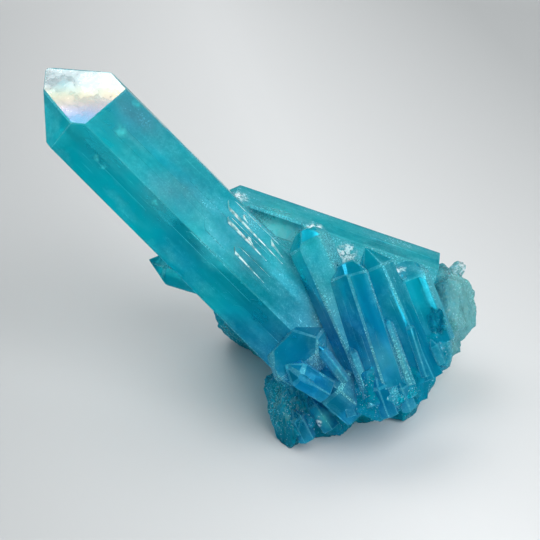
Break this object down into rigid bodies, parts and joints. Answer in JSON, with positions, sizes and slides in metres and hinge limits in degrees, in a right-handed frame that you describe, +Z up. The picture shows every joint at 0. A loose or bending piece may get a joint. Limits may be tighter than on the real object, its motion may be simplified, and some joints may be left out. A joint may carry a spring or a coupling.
{
  "type": "aqua aura quartz crystal cluster",
  "caption": "Cluster of pointed hexagonal quartz crystals under a teal metallic film: a long leaning point over a fan of small crystals on broken rock, all grown together and free-standing",
  "frame": {"origin": "on the plane the cluster rests on, under the middle of its bounding box", "axes": "+X runs along the cluster's longest extent, away from the large crystal's tip and towards the broken end; -Y is the side of the small crystals that faces the viewer; +Z is up"},
  "size_m": [0.0982, 0.0587, 0.0692],
  "materials": {
    "quartz_cluster": "clear to milky quartz under a thin teal iridescent metal film, glossy crystal faces, rough broken rock"
  },
  "bodies": {
    "root": {"quartz_cluster": "quartz_cluster"}
  },
  "joints": []
}
